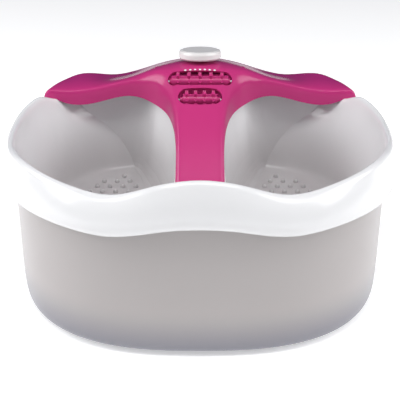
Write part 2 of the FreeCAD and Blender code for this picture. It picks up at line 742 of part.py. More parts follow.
def cover_grid(skin):
    """Poles of one skin of the cover: up the divider, over the wings, down the back."""
    column = [0.5 * i / 11.0 for i in range(11)]
    wings = [0.5 + 0.5 * i / 20.0 for i in range(21)]
    rows = []
    for s in column + wings:
        thinner_tip = min(1.0, 0.3 + 7.0 * s)
        half = cover_half_section(s, skin * thinner_tip)
        other = [vector(-p.x, p.y, p.z) for p in reversed(half)]
        rows.append(half + other[1:])
    last = rows[-1]
    focus = vector(0, 112.0, 0)
    for out, part, sideways in ((2.2, 0.05, 0.0), (3.8, 0.25, 0.35), (4.4, 0.6, 0.8),
                                (4.6, 1.0, 1.0)):
        band = []
        for p in last:
            away = vector(p.x - focus.x, p.y - focus.y, 0)
            away.normalize()
            longer = 1.0 + 0.9 * max(0.0, (abs(p.x) - 120.0) / 43.0) ** 2
            edge = p + away * (4.6 * longer - size("cover_wall"))
            top = p.z + skin
            low = min(rim_height_at(edge) + 1.0, top - 3.0)
            z = top + (low - top) * part - skin * (1.0 - sideways)
            place = p + away * (out * longer - skin * sideways)
            band.append(vector(place.x, place.y, z))
        rows.append(band)
    return rows


def roller_place(side):
    """Placement of a roller: its axle along X, 1 for the rear and -1 for the front."""
    tilt = math.radians(size("roller_tilt"))
    along = side * size("roller_half_gap")
    return at(0, size("roller_y") + along * math.cos(tilt),
              size("roller_z") + along * math.sin(tilt), X_AXIS, size("roller_tilt"))


def slot_cutter(side, shorter=0.0, below=12.0):
    """A barrel-ended slot over one roller, from below its axle to above the cover."""
    half_length = size("rear_slot_length" if side > 0 else "front_slot_length") / 2.0 - shorter
    half_width = size("slot_width") / 2.0
    bulge = 1.2
    corner = 6.2
    a = vector(-half_length + corner, -half_width + bulge, 0)
    b = vector(half_length - corner, -half_width + bulge, 0)
    c = vector(half_length - corner, half_width - bulge, 0)
    d = vector(-half_length + corner, half_width - bulge, 0)
    edges = [Part.Arc(a, vector(0, -half_width, 0), b).toShape(),
             Part.Arc(b, vector(half_length, 0, 0), c).toShape(),
             Part.Arc(c, vector(0, half_width, 0), d).toShape(),
             Part.Arc(d, vector(-half_length, 0, 0), a).toShape()]
    outline = Part.Face(Part.Wire(edges))
    outline.translate(vector(0, 0, -below))
    cutter = outline.extrude(vector(0, 0, below + 30.0))
    cutter.Placement = roller_place(side)
    return cutter


def knob_place(along):
    """A point on the knob's tilted axis, measured up from the knob's underside."""
    tilt = math.radians(size("knob_tilt"))
    return at(0, size("knob_y") + along * math.sin(tilt),
              size("knob_z") + along * math.cos(tilt), X_AXIS, -size("knob_tilt"))


TRAY_RIGHT = [(19.5, -26.6), (24.6, -16.0), (24.6, -1.0), (30.0, 3.0), (35.2, 11.2), (35.2, 18.0),
              (30.5, 26.6)]
TRAY_OUTLINE = TRAY_RIGHT + [(-x, y) for x, y in reversed(TRAY_RIGHT)]
TRAY_THICK = 13.6
AXLE_DEPTH = 14.5


def tray_place():
    """Placement of the roller cradle: its floor under the sloping console."""
    tilt = math.radians(size("roller_tilt"))
    return at(0, size("roller_y") + AXLE_DEPTH * math.sin(tilt),
              size("roller_z") - AXLE_DEPTH * math.cos(tilt), X_AXIS, size("roller_tilt"))


def tray_relief():
    """Room in the cover for the cradle and for the ends of the axles."""
    corners = [vector(x, y, 0) for x, y in TRAY_OUTLINE]
    block = Part.Face(Part.makePolygon(corners + corners[:1])).extrude(vector(0, 0, TRAY_THICK))
    block.Placement = tray_place()
    room = [block]
    for side, slot_length in ((1, "rear_slot_length"), (-1, "front_slot_length")):
        length = size(slot_length) + 2.2
        pin = Part.makeCylinder(size("axle_radius") + 0.2, length, vector(-length / 2.0, 0, 0),
                                X_AXIS)
        pin.Placement = roller_place(side)
        room.append(pin)
    return room


def make_console_cover(tub):
    """The magenta console skin, trimmed where it rests on the tub."""
    shape = sheet_solid(cover_grid(0.0), cover_grid(size("cover_wall")))
    deck = size("deck_height") + size("cover_gap")
    bosses = []
    for x, y in cover_boss_places():
        top = cover_top(x, y) - 0.5 * size("cover_wall")
        bosses.append(Part.makeCylinder(4.2, top - deck, vector(x, y, deck)))
    shape = shape.multiFuse(bosses)
    hole = Part.makeCylinder(size("spindle_radius") + 2.0, 24.0)
    hole.Placement = knob_place(-20.0)
    pilots = [Part.makeCylinder(size("screw_radius"), 9.0, vector(x, y, deck - 1.0))
              for x, y in cover_boss_places()]
    shape = shape.cut([slot_cutter(1), slot_cutter(-1), hole] + pilots + tray_relief())
    shape = shape.cut(tub.Shape)
    feature = doc.addObject("Part::Feature", "console_cover")
    feature.Shape = shape
    return finished(feature, "console_cover")


# ------------------------------------------------------- rollers and cradle

def make_roller_cradle():
    """An open-topped tray under the slots; the axles lie in its half-round seats."""
    tray = plate_body("cradle_tray", TRAY_OUTLINE, TRAY_THICK)
    pockets = []
    for side, name in ((1, "rear"), (-1, "front")):
        pocket = doc.addObject("Part::Feature", "%s_pocket" % name)
        shape = slot_cutter(side, 0.8, 0.0)
        shape.Placement = at(0, side * size("roller_half_gap"), 2.2)
        pocket.Shape = shape
        pockets.append(pocket)
        seat = cylinder("%s_seat" % name, cell("axle_radius"), 90.0,
                        at(-45.0, side * size("roller_half_gap"), AXLE_DEPTH, Y_AXIS, 90))
        pockets.append(seat)
    cradle = without("roller_cradle_body", tray, pockets)
    finished(cradle, "roller_cradle", tray_place())


def make_roller(side, label, length, rings, pitch):
    """A roller with rings of blunt nubs and a hub at each end; it turns on its axle."""
    core = cylinder(label + "_core", cell("roller_core"), cell(length),
                    at(-size(length) / 2.0, 0, 0, Y_AXIS, 90))
    slot_length = "rear_slot_length" if side > 0 else "front_slot_length"
    hub_gap = 1.9
    hubs = cylinder(label + "_hubs", cell("roller_hub"), cell(slot_length, 1.0, -2.0 * hub_gap),
                    at(hub_gap - size(slot_length) / 2.0, 0, 0, Y_AXIS, 90))
    nubs = [core, hubs]
    for ring in range(rings):
        along = (ring - (rings - 1) / 2.0) * pitch
        for step in range(8):
            turn = 45.0 * step
            nub = cone("%s_nub_%d_%d" % (label, ring, step), 2.3, 1.6,
                       cell("roller_tip", 1.0, -5.0))
            ray = FreeCAD.Rotation(X_AXIS, turn)
            start = ray.multVec(vector(0, 0, 5.0))
            nub.Placement = FreeCAD.Placement(vector(along, start.y, start.z), ray)
            nubs.append(nub)
    bore = cylinder(label + "_bore", cell("axle_radius", 1.0, size("running_gap")), 90.0,
                    at(-45.0, 0, 0, Y_AXIS, 90))
    roller = without(label + "_body", joined(label + "_solid", nubs), [bore])
    finished(roller, label, roller_place(side))


def make_axle(side, label, slot_length):
    """A steel pin that lies in the cradle and carries one roller."""
    beyond = 1.6
    length = size(slot_length) + beyond
    axle = cylinder(label + "_pin", cell("axle_radius"), cell(slot_length, 1.0, beyond))
    turned = roller_place(side).multiply(at(-length / 2.0, 0, 0, Y_AXIS, 90))
    finished(axle, label, turned)


# ----------------------------------------------------------- knob and switch

def make_mode_knob():
    radius = cell("knob_radius")
    thick = cell("knob_thick")
    bore = cell("spindle_radius")
    knob = turned_body("knob_body", [
        (bore, 0.0), (cell("knob_radius", 1.0, -1.6), 0.0), (radius, 1.6),
        (radius, cell("knob_thick", 1.0, -3.2)), (cell("knob_radius", 1.0, -0.9),
                                                 cell("knob_thick", 1.0, -0.9)),
        (cell("knob_radius", 1.0, -3.2), thick), (0.0, thick),
        (0.0, cell("knob_thick", 1.0, -2.5)), (bore, cell("knob_thick", 1.0, -2.5)),
    ])
    finished(knob, "mode_knob", knob_place(0.0))


def make_knob_spindle():
    spindle = cylinder("spindle_rod", cell("spindle_radius"), cell("spindle_reach"))
    finished(spindle, "knob_spindle", knob_place(size("knob_thick") - 2.5 - size("spindle_reach")))


def make_switch():
    """Rotary switch hung from a bracket on the deck, with its bush and nut."""
    half = (14.0, "14")
    case = plate_body("switch_case", rectangle(half, half), 16.0)
    bush = cylinder("switch_bush", 4.4, 8.5, at(0, 0, 16.0))
    bore = cylinder("switch_bore", cell("spindle_radius", 1.0, size("running_gap")), 30.0,
                    at(0, 0, 2.0))
    body = without("switch_body_cut", joined("switch_solid", [case, bush]), [bore])
    finished(body, "switch_body", knob_place(-40.0))
    hexagon = [(7.0 * math.cos(math.radians(60 * i)), 7.0 * math.sin(math.radians(60 * i)))
               for i in range(6)]
    nut = plate_body("switch_nut_body", hexagon, 2.4, [(0.0, 0.0, 4.4)])
    finished(nut, "switch_nut", knob_place(-22.0))
    top = plate_body("bracket_top", rectangle((30.0, "30"), (15.0, "15")), 2.0,
                     [(0.0, 0.0, 4.4)])
    legs = [box("bracket_leg_%d" % i, 2.0, 30.0, 20.0, at(x, -15.0, -18.6))
            for i, x in enumerate((-30.0, 28.0))]
    bracket = joined("bracket_solid", [top] + legs)
    finished(bracket, "switch_bracket", knob_place(-24.0))
    seal = torus("seal_ring", 4.35, 1.2)
    finished(seal, "shaft_seal", knob_place(-7.0))


def make_cable_grommet():
    grommet = turned_body("grommet_body", [
        (2.0, -5.0), (6.0, -5.0), (6.0, -3.1), (3.95, -3.1), (3.95, 0.1), (6.0, 0.1),
        (6.0, 1.6), (2.0, 1.6)])
    finished(grommet, "cable_grommet", at(0, CABLE_Y, size("deck_height")))


# ------------------------------------------------------------ vibration motor

def make_vibration_motor():
    radius = cell("shaker_radius")
    can = cylinder("shaker_can", radius, cell("shaker_length"))
    nose = cylinder("shaker_nose", 5.0, 2.5, at(0, 0, size("shaker_length")))
    bore = cylinder("shaker_bore", cell("shaft_radius", 1.0, size("running_gap")), 30.0,
                    at(0, 0, size("shaker_length") - 20.0))
    motor = without("shaker_motor", joined("shaker_solid", [can, nose]), [bore])
    start = -size("shaker_length") / 2.0
    finished(motor, "vibration_motor", at(start, size("shaker_y"), size("shaker_z"), Y_AXIS, 90))
    shaft = cylinder("shaker_rod", cell("shaft_radius"), 32.0)
    end = size("shaker_length") / 2.0
    finished(shaft, "shaker_shaft",
             at(end - 18.0, size("shaker_y"), size("shaker_z"), Y_AXIS, 90))
    lobe = cylinder("weight_lobe", 11.5, 8.0)
    lobe.Angle = 180.0
    hub = cylinder("weight_hub", 4.2, 8.0)
    hole = cylinder("weight_hole", cell("shaft_radius"), 12.0, at(0, 0, -2.0))
    weight = without("weight_body", joined("weight_solid", [lobe, hub]), [hole])
    finished(weight, "eccentric_weight",
             at(end + 5.0, size("shaker_y"), size("shaker_z"), Y_AXIS, 90))


def make_motor_bracket():
    """Saddle screwed to the bottom of the outer shell, with a strap over the motor."""
    y = size("shaker_y")
    z = size("shaker_z")
    foot = plate_body("saddle_foot", rectangle((23.0, "23"), (21.0, "21")), 2.4,
                      [(sx * 19.0, sy * 17.0, 1.3) for sx in (-1, 1) for sy in (-1, 1)])
    cheeks = [box("saddle_cheek_%d" % i, 3.0, 24.0, 17.0, at(x, -12.0, 2.0))
              for i, x in enumerate((-14.0, 11.0))]
    seat = cylinder("saddle_seat", cell("shaker_radius"), 60.0, at(-30.0, 0, z - 7.1, Y_AXIS, 90))
    saddle = without("saddle_body", joined("saddle_solid", [foot] + cheeks), [seat])
    finished(saddle, "motor_bracket", at(0, y, 7.1))
    ring = cylinder("strap_ring", cell("shaker_radius", 1.0, 1.2), 8.0, at(0, 0, 0))
    inside = cylinder("strap_inside", cell("shaker_radius"), 12.0, at(0, 0, -2.0))
    lower = box("strap_lower", 22.0, 60.0, 12.0, at(3.0, -30.0, -2.0))
    strap = without("strap_body", ring, [inside, lower])
    finished(strap, "motor_strap", at(-4.0, y, z, Y_AXIS, 90))
    screws = [pan_screw("bracket_screw_%d" % i, 1.2, 2.3, 4.2, x, py, 9.6, -1)
              for i, (x, py) in enumerate(bracket_screw_places())]
    finished(grouped("bracket_screw_group", screws), "bracket_screws")


def pan_screw(name, shank, head, reach, x, y, z, way):
    """A pan-head screw; the head sits at z and the shank runs up (1) or down (-1)."""
    thick = 0.55 * head
    if way > 0:
        top = cylinder(name + "_head", head, thick, at(x, y, z - thick))
        rod = cylinder(name + "_shank", shank, reach, at(x, y, z))
    else:
        top = cylinder(name + "_head", head, thick, at(x, y, z))
        rod = cylinder(name + "_shank", shank, reach, at(x, y, z - reach))
    return joined(name, [top, rod])


# ------------------------------------------------------------------- blower

def make_blower():
    x = size("blower_x")
    y = size("blower_y")
    can = cylinder("blower_can", 17.0, 16.5)
    neck = cylinder("blower_neck", 3.6, 2.0, at(0, 0, 16.5))
    bore = cylinder("blower_bore", cell("shaft_radius", 1.0, size("running_gap")), 30.0,
                    at(0, 0, 6.0))
    motor = without("blower_motor_body", joined("blower_motor_solid", [can, neck]), [bore])
    finished(motor, "blower_motor", at(x, y, 7.4))
    finished(cylinder("blower_rod", cell("shaft_radius"), 28.0), "blower_shaft",
             at(x, y, 14.0))
    case = cylinder("blower_case", cell("blower_radius"), 20.0)
    room = cylinder("blower_room", cell("blower_radius", 1.0, -2.0), 20.0, at(0, 0, 2.0))
    eye = cylinder("blower_eye", 4.4, 10.0, at(0, 0, -2.0))
    pipes = []
    bores = []
    for i, side in enumerate((-1, 1)):
        pipes.append(cylinder("spigot_%d" % i, 5.4, 26.0, at(side * 22.0, -20.0, 11.0, X_AXIS, 90)))
        bores.append(cylinder("spigot_bore_%d" % i, 4.0, 34.0,
                              at(side * 22.0, -14.0, 11.0, X_AXIS, 90)))
    housing = without("housing_body", joined("housing_solid", [case] + pipes),
                      [room, eye] + bores)
    finished(housing, "blower_housing", at(x, y, 24.4))
    lid = plate_body("lid_body", [(-33.0, -33.0), (33.0, -33.0), (33.0, 33.0), (-33.0, 33.0)], 1.8,
                     [(0.0, 0.0, 9.0)])
    disc = cylinder("lid_disc", cell("blower_radius"), 1.8)
    lid_round = doc.addObject("Part::Common", "lid_round")
    lid_round.Base = lid
    lid_round.Tool = disc
    finished(lid_round, "blower_lid", at(x, y, 44.5))


def make_impeller():
    """A closed-back fan wheel with eight straight blades."""
    disc = cylinder("fan_disc", 28.0, 1.8)
    hub = cylinder("fan_hub", 4.6, 11.0)
    blades = []
    for i in range(8):
        blade = box("fan_blade_%d" % i, 22.0, 1.6, 10.5)
        turn = FreeCAD.Rotation(Z_AXIS, 45.0 * i)
        start = turn.multVec(vector(4.0, -0.8, 0))
        blade.Placement = FreeCAD.Placement(start, turn)
        blades.append(blade)
    hole = cylinder("fan_hole", cell("shaft_radius"), 30.0, at(0, 0, -5.0))
    fan = without("fan_body", joined("fan_solid", [disc, hub] + blades), [hole])
    finished(fan, "impeller", at(size("blower_x"), size("blower_y"), 29.0))


def bent_path(points, radius):
    """Straight runs joined by tangent arcs."""
    edges = []
    start = points[0]
    for i in range(1, len(points) - 1):
        corner = points[i]
        back = (points[i - 1] - corner).normalize()
        ahead = (points[i + 1] - corner).normalize()
        turn = math.pi - back.getAngle(ahead)
        cut = radius * math.tan(turn / 2.0)
        first = corner + back * cut
        second = corner + ahead * cut
        bisector = (back + ahead).normalize()
        centre = corner + bisector * (radius / math.cos(turn / 2.0))
        edges.append(Part.LineSegment(start, first).toShape())
        edges.append(Part.Arc(first, centre - bisector * radius, second).toShape())
        start = second
    edges.append(Part.LineSegment(start, points[-1]).toShape())
    return Part.Wire(edges)


def tube_shape(points, bend, outer, inner=0.0):
    path = bent_path(points, bend)
    way = points[1] - points[0]
    solid = path.makePipe(Part.Wire([Part.Circle(points[0], way, outer).toShape()]))
    solid = Part.makeSolid(Part.makeShell(solid.Faces + [
        Part.Face(Part.Wire([Part.Circle(points[0], way, outer).toShape()])),
        Part.Face(Part.Wire([Part.Circle(points[-1], points[-1] - points[-2],
                                         outer).toShape()]))]))
    if inner:
        solid = solid.cut(tube_shape(points, bend, inner))
    return solid


def make_tube(label, points, bend, outer, inner=0.0):
    feature = doc.addObject("Part::Feature", label + "_run")
    feature.Shape = tube_shape([vector(*p) for p in points], bend, outer, inner)
    finished(feature, label)


def make_air_side():
    """Hoses from the blower to the two air chambers under the floor jets."""
    z = 35.4
    y = size("blower_y") - 38.5
    barb_y = size("chamber_y") - 4.0
    left = -size("heater_x")
    make_tube("air_hose_right", [(size("blower_x") + 22.0, y, z),
                                 (size("blower_x") + 22.0, barb_y, z),
                                 (size("blower_x") + 22.0, barb_y, 47.0)], 9.0, 6.6, 5.4)
    make_tube("air_hose_left", [(size("blower_x") - 22.0, y, z),
                                (size("blower_x") - 22.0, barb_y - 4.0, z),
                                (left, barb_y - 4.0, z),
                                (left, barb_y - 4.0, 47.0)], 9.0, 6.6, 5.4)
    for name, x, barb in (("left", left, (0.0, -8.0)),
                          ("right", size("heater_x"), (12.0, -4.0))):
        half_width = cell("chamber_width", 0.5)
        half_depth = cell("chamber_depth", 0.5)
        tray = plate_body("chamber_%s" % name, rectangle(half_width, half_depth),
                          cell("chamber_thick"))
        spigot = cylinder("chamber_spigot_%s" % name, 5.3, 3.6, at(barb[0], barb[1], -2.6))
        wall = 1.6
        room = box("chamber_room_%s" % name, size("chamber_width") - 2 * wall,
                   size("chamber_depth") - 2 * wall, 12.0,
                   at(-size("chamber_width") / 2.0 + wall, -size("chamber_depth") / 2.0 + wall,
                      wall))
        inlet = cylinder("chamber_inlet_%s" % name, 3.8, 20.0, at(barb[0], barb[1], -10.0))
        chamber = without("chamber_cut_%s" % name, joined("chamber_solid_%s" % name,
                                                          [tray, spigot]), [room, inlet])
        top = size("floor_height") - size("wall") - 0.05
        finished(chamber, "air_chamber_%s" % name,
                 at(x, size("chamber_y"), top - size("chamber_thick")))


# ------------------------------------------------------------------- heating

def make_heater(name, side):
    """Aluminium spreader plate under a well floor with a U-shaped heating tube."""
    x = side * size("heater_x")
    y = size("heater_y")
    top = size("floor_height") - size("wall") - 0.05
    plate = plate_body("heater_plate_body_%s" % name,
                       rectangle(cell("heater_width", 0.5), cell("heater_depth", 0.5)),
                       cell("heater_thick"))
    finished(plate, "heater_plate_%s" % name, at(x, y, top - size("heater_thick")))
    z = top - size("heater_thick") - 3.1
    far = x + side * 28.0
    near = x - side * 28.0
    make_tube("heater_tube_%s" % name, [(near, y - 17.0, z), (far, y - 17.0, z),
                                        (far, y + 17.0, z), (near, y + 17.0, z)], 12.0, 3.0)


def make_heat_guards():
    top = size("floor_height") - size("wall") - size("heater_thick") - 0.1
    thermostat = turned_body("thermostat_body", [
        (0.0, 0.0), (6.5, 0.0), (6.5, 2.0), (8.5, 2.0), (8.5, 8.0), (0.0, 8.0)])
    finished(thermostat, "thermostat", at(-size("heater_x"), size("heater_y"), top - 8.0))
    fuse = turned_body("fuse_body", [
        (0.0, 0.0), (0.6, 0.0), (0.6, 8.0), (2.4, 9.0), (2.4, 21.0), (0.6, 22.0), (0.6, 30.0),
        (0.0, 30.0)])
    finished(fuse, "thermal_fuse",
             at(size("heater_x") - 15.0, size("heater_y"), top - 2.6, Y_AXIS, 90))


# ------------------------------------------------------- wiring, gland, feet

def back_wall_at(z):
    """Outer face of the shell behind the cord gland."""
    low = size("middle_y")
    reach = 140.0
    for step in range(400):
        y = low + reach + step * 0.1
        angle = math.atan2(y - low, size("gland_x"))
        if math.hypot(y - low, size("gland_x")) > shell_radius(angle, z, 0.8):
            return y
    return low + reach


def make_cord_gland():
    """Moulded gland through the back wall of the shell, held by a ring nut inside."""
    gland = turned_body("gland_body", [
        (cell("gland_bore"), -13.0), (6.9, -13.0), (6.9, 1.3), (11.0, 1.3), (11.0, 3.4),
        (8.2, 4.6), (7.2, cell("gland_length", 1.0, -13.0)),
        (cell("gland_bore"), cell("gland_length", 1.0, -13.0))])
    place = at(size("gland_x"), back_wall_at(size("gland_z")), size("gland_z"), X_AXIS, -90)
    finished(gland, "cord_gland", place)
    nut = turned_body("gland_nut_body", [(6.9, -8.6), (10.4, -8.6), (10.4, -5.4), (6.9, -5.4)])
    finished(nut, "gland_nut", place)


def make_wiring():
    x = size("gland_x")
    block = box("block_body", 34.0, 16.0, 13.0, at(0, 0, 0))
    slots = [cylinder("block_screw_%d" % i, 1.8, 8.0, at(5.5 + 7.7 * i, 8.0, 8.0))
             for i in range(4)]
    terminal = without("terminal_body", block, slots)
    finished(terminal, "terminal_block", at(x - 17.0, 104.0, 7.1))
    lead = 1.7
    make_tube("supply_lead", [(x, back_wall_at(size("gland_z")) - 14.0, size("gland_z")),
                              (x, 132.0, size("gland_z")), (x, 130.0, 12.0), (x, 120.2, 12.0)],
              4.5, 2.4)
    make_tube("switch_lead", [(x + 17.2, 112.0, 14.0), (0, 112.0, 14.0), (0, 112.0, 151.0)],
              9.0, lead)
    make_tube("shaker_lead", [(x + 2.0, 103.8, 12.0), (x + 2.0, size("shaker_y"), 12.0),
                              (-28.0, size("shaker_y"), 12.0),
                              (-28.0, size("shaker_y"), 25.0),
                              (-21.2, size("shaker_y"), 25.0)], 3.3, lead)
    make_tube("blower_lead", [(x + 10.0, 103.8, 12.0), (x + 10.0, 70.0, 12.0),
                              (size("blower_x") - 8.0, 70.0, 12.0),
                              (size("blower_x") - 8.0, size("blower_y") + 16.6, 12.0)], 8.0, lead)


def make_feet():
    for label, x, y in foot_places():
        foot = turned_body(label + "_body", [
            (0.0, 0.0), (cell("foot_radius", 1.0, -1.2), 0.0), (cell("foot_radius"), 1.2),
            (cell("foot_radius"), 3.9), (4.1, 3.9), (4.1, 7.15), (5.4, 7.15), (3.4, 10.0),
            (0.0, 10.0)])
        finished(foot, label, at(x, y, 0))


def make_screws():
    base = [pan_screw("base_screw_%d" % i, cell("screw_radius"), 3.6, 24.0, x, y, 3.9, 1)
            for i, (x, y) in enumerate(post_places())]
    finished(grouped("base_screw_group", base), "base_screws")
    deck = size("deck_height") - size("wall")
    cover = [pan_screw("console_screw_%d" % i, cell("screw_radius"), 3.6, 10.5, x, y,
                       deck - 0.05, 1) for i, (x, y) in enumerate(cover_boss_places())]
    finished(grouped("console_screw_group", cover), "console_screws")


# ----------------------------------------------------------------- the model

def make_everything():
    make_outer_shell()
    tub = make_basin()
    make_console_cover(tub)
    make_roller_cradle()
    make_roller(1, "rear_roller", "rear_roller_length", 5, 11.7)
    make_roller(-1, "front_roller", "front_roller_length", 4, 9.3)
    make_axle(1, "rear_axle", "rear_slot_length")
    make_axle(-1, "front_axle", "front_slot_length")
    make_mode_knob()
    make_knob_spindle()
    make_switch()
    make_cable_grommet()
    make_vibration_motor()
    make_motor_bracket()
    make_blower()
    make_impeller()
    make_air_side()
    make_heater("left", -1)
    make_heater("right", 1)
    make_heat_guards()
    make_cord_gland()
    make_wiring()
    make_feet()
    make_screws()


def check_and_write():
    doc.recompute()
    for thing in doc.Objects:
        if any(state in ("Invalid", "Error") for state in thing.State):
            raise RuntimeError("%s failed: %s" % (thing.Label, thing.State))
    os.makedirs("parts", exist_ok=True)
    for thing in SUBPARTS:
        shape = thing.Shape
        if shape.isNull() or not shape.isValid():
            raise RuntimeError("%s has a bad shape" % thing.Label)
        shape.exportStep("parts/%s.step" % thing.Label)
        print(thing.Label, len(shape.Solids), round(shape.Volume), shape.BoundBox)


make_everything()
check_and_write()
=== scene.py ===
import json
import math

import bmesh
import bpy
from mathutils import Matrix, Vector


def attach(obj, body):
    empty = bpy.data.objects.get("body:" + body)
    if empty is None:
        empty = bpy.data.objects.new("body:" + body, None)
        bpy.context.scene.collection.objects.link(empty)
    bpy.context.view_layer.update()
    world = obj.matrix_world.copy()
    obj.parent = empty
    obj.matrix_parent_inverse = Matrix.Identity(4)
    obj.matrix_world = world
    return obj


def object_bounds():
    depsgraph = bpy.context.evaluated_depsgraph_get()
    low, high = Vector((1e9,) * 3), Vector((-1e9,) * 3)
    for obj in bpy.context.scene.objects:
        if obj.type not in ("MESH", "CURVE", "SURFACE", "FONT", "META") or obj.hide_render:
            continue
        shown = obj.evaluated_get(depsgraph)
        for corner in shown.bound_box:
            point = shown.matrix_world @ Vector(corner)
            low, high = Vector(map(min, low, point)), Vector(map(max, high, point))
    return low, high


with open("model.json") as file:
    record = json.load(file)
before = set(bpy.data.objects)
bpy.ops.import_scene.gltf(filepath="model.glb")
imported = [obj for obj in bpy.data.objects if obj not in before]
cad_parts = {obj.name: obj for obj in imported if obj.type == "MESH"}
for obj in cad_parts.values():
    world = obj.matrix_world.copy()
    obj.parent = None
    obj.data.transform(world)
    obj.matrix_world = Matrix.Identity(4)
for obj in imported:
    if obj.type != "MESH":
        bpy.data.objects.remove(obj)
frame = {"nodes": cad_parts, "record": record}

CAD_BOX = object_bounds()
LOW = Vector(CAD_BOX[0])
HIGH = Vector(CAD_BOX[1])

# ------------------------------------------------------------------- camera

ELEVATION = math.radians(28.5)
DISTANCE = 0.980
LENS = 86.9
SENSOR = 36.0
AIM_FORWARD = 0.011
AIM_HEIGHT = 0.090
AIM = Vector(((LOW.x + HIGH.x) / 2, (LOW.y + HIGH.y) / 2 - AIM_FORWARD, LOW.z + AIM_HEIGHT))


def make_camera():
    data = bpy.data.cameras.new("camera")
    data.lens = LENS
    data.sensor_width = SENSOR
    camera = bpy.data.objects.new("camera", data)
    away = Vector((0.0, -math.cos(ELEVATION), math.sin(ELEVATION)))
    camera.location = AIM + away * DISTANCE
    camera.rotation_euler = (-away).to_track_quat("-Z", "Y").to_euler()
    bpy.context.scene.collection.objects.link(camera)
    bpy.context.scene.camera = camera


# ------------------------------------------------------------------- lights

LIGHT_AIM = (0.0, 0.0, 0.10)
ROOM_GREY = (0.15, 0.155, 0.165)
ROOM_DARK = (0.035, 0.04, 0.085)
ROOM_DARK_WAY = (0.0, 0.88, 0.47)
ROOM_FADE = (0.45, 0.90)
FLOOR_SIZE = 40.0
FLOOR_TONE = 0.90
FLOOR_ROUGHNESS = 0.8
FLOOR_SHINE = 0.1
GLOW_FADE = (1.1, 2.6)
GLOW_STRENGTH = 0.40


def soft_light(name, place, width, height, power):
    data = bpy.data.lights.new(name, "AREA")
    data.shape = "RECTANGLE"
    data.size = width
    data.size_y = height
    data.energy = power
    lamp = bpy.data.objects.new(name, data)
    lamp.location = place
    lamp.rotation_euler = (Vector(place) - Vector(LIGHT_AIM)).to_track_quat("Z", "Y").to_euler()
    bpy.context.scene.collection.objects.link(lamp)


def make_world():
    """A grey room that is dark and bluish behind the object."""
    world = bpy.data.worlds.new("studio")
    world.use_nodes = True
    tree = world.node_tree
    back = tree.nodes["Background"]
    facing = tree.nodes.new("ShaderNodeTexCoord")
    behind = tree.nodes.new("ShaderNodeVectorMath")
    behind.operation = "DOT_PRODUCT"
    behind.inputs[1].default_value = ROOM_DARK_WAY
    tree.links.new(facing.outputs["Generated"], behind.inputs[0])
    shade = tree.nodes.new("ShaderNodeMapRange")
    shade.interpolation_type = "SMOOTHSTEP"
    shade.inputs["From Min"].default_value = ROOM_FADE[0]
    shade.inputs["From Max"].default_value = ROOM_FADE[1]
    tree.links.new(behind.outputs["Value"], shade.inputs["Value"])
    colour = mix_colour(tree, shade.outputs["Result"], ROOM_GREY, ROOM_DARK)
    tree.links.new(colour, back.inputs["Color"])
    back.inputs["Strength"].default_value = 1.0
    bpy.context.scene.world = world


def make_studio():
    bpy.context.scene.view_settings.view_transform = "Standard"
    make_world()
    soft_light("side_left", (-1.30, -0.15, 0.85), 1.2, 0.8, 14.5)
    soft_light("side_right", (1.30, -0.25, 0.85), 1.2, 0.8, 12.5)
    soft_light("top_front", (0.0, -0.50, 1.45), 1.6, 0.4, 11.5)


def make_floor():
    """A pale floor that glows faintly near the object, so that its shadow stays light."""
    bpy.ops.mesh.primitive_plane_add(size=FLOOR_SIZE, location=(0.0, 0.0, LOW.z))
    floor = bpy.context.object
    floor.name = "studio_floor"
    material = bpy.data.materials.new("studio_floor")
    material.use_nodes = True
    tree = material.node_tree
    shader = tree.nodes["Principled BSDF"]
    shader.inputs["Base Color"].default_value = (FLOOR_TONE, FLOOR_TONE, FLOOR_TONE, 1.0)
    shader.inputs["Roughness"].default_value = FLOOR_ROUGHNESS
    shader.inputs["Specular IOR Level"].default_value = FLOOR_SHINE
    shader.inputs["Emission Color"].default_value = (1.0, 1.0, 1.0, 1.0)
    place = tree.nodes.new("ShaderNodeTexCoord")
    away = tree.nodes.new("ShaderNodeVectorMath")
    away.operation = "LENGTH"
    tree.links.new(place.outputs["Object"], away.inputs[0])
    glow = tree.nodes.new("ShaderNodeMapRange")
    glow.interpolation_type = "SMOOTHSTEP"
    glow.inputs["From Min"].default_value = GLOW_FADE[0]
    glow.inputs["From Max"].default_value = GLOW_FADE[1]
    glow.inputs["To Min"].default_value = GLOW_STRENGTH
    glow.inputs["To Max"].default_value = 0.0
    tree.links.new(away.outputs["Value"], glow.inputs["Value"])
    tree.links.new(glow.outputs["Result"], shader.inputs["Emission Strength"])
    floor.data.materials.append(material)


# ---------------------------------------------------------------- materials

DRIFT_SCALE = 9.0
GLOSS_SCALE = 22.0
GRAIN_SCALE = 900.0
GRAIN_DEPTH = 0.0004
COAT_ROUGHNESS = 0.06
NOISE_LOW = 0.2
NOISE_HIGH = 0.8


def mix_colour(tree, factor, dark, light):
    """The first colour where the factor is 0 and the second where it is 1."""
    node = tree.nodes.new("ShaderNodeMix")
    node.data_type = "RGBA"
    node.inputs["A"].default_value = (*dark, 1.0)
    node.inputs["B"].default_value = (*light, 1.0)
    tree.links.new(factor, node.inputs["Factor"])
    return node.outputs["Result"]


def noise(tree, scale, detail):
    place = tree.nodes.new("ShaderNodeTexCoord")
    node = tree.nodes.new("ShaderNodeTexNoise")
    node.inputs["Scale"].default_value = scale
    node.inputs["Detail"].default_value = detail
    node.inputs["Roughness"].default_value = 0.5
    tree.links.new(place.outputs["Object"], node.inputs["Vector"])
    return node.outputs["Fac"]


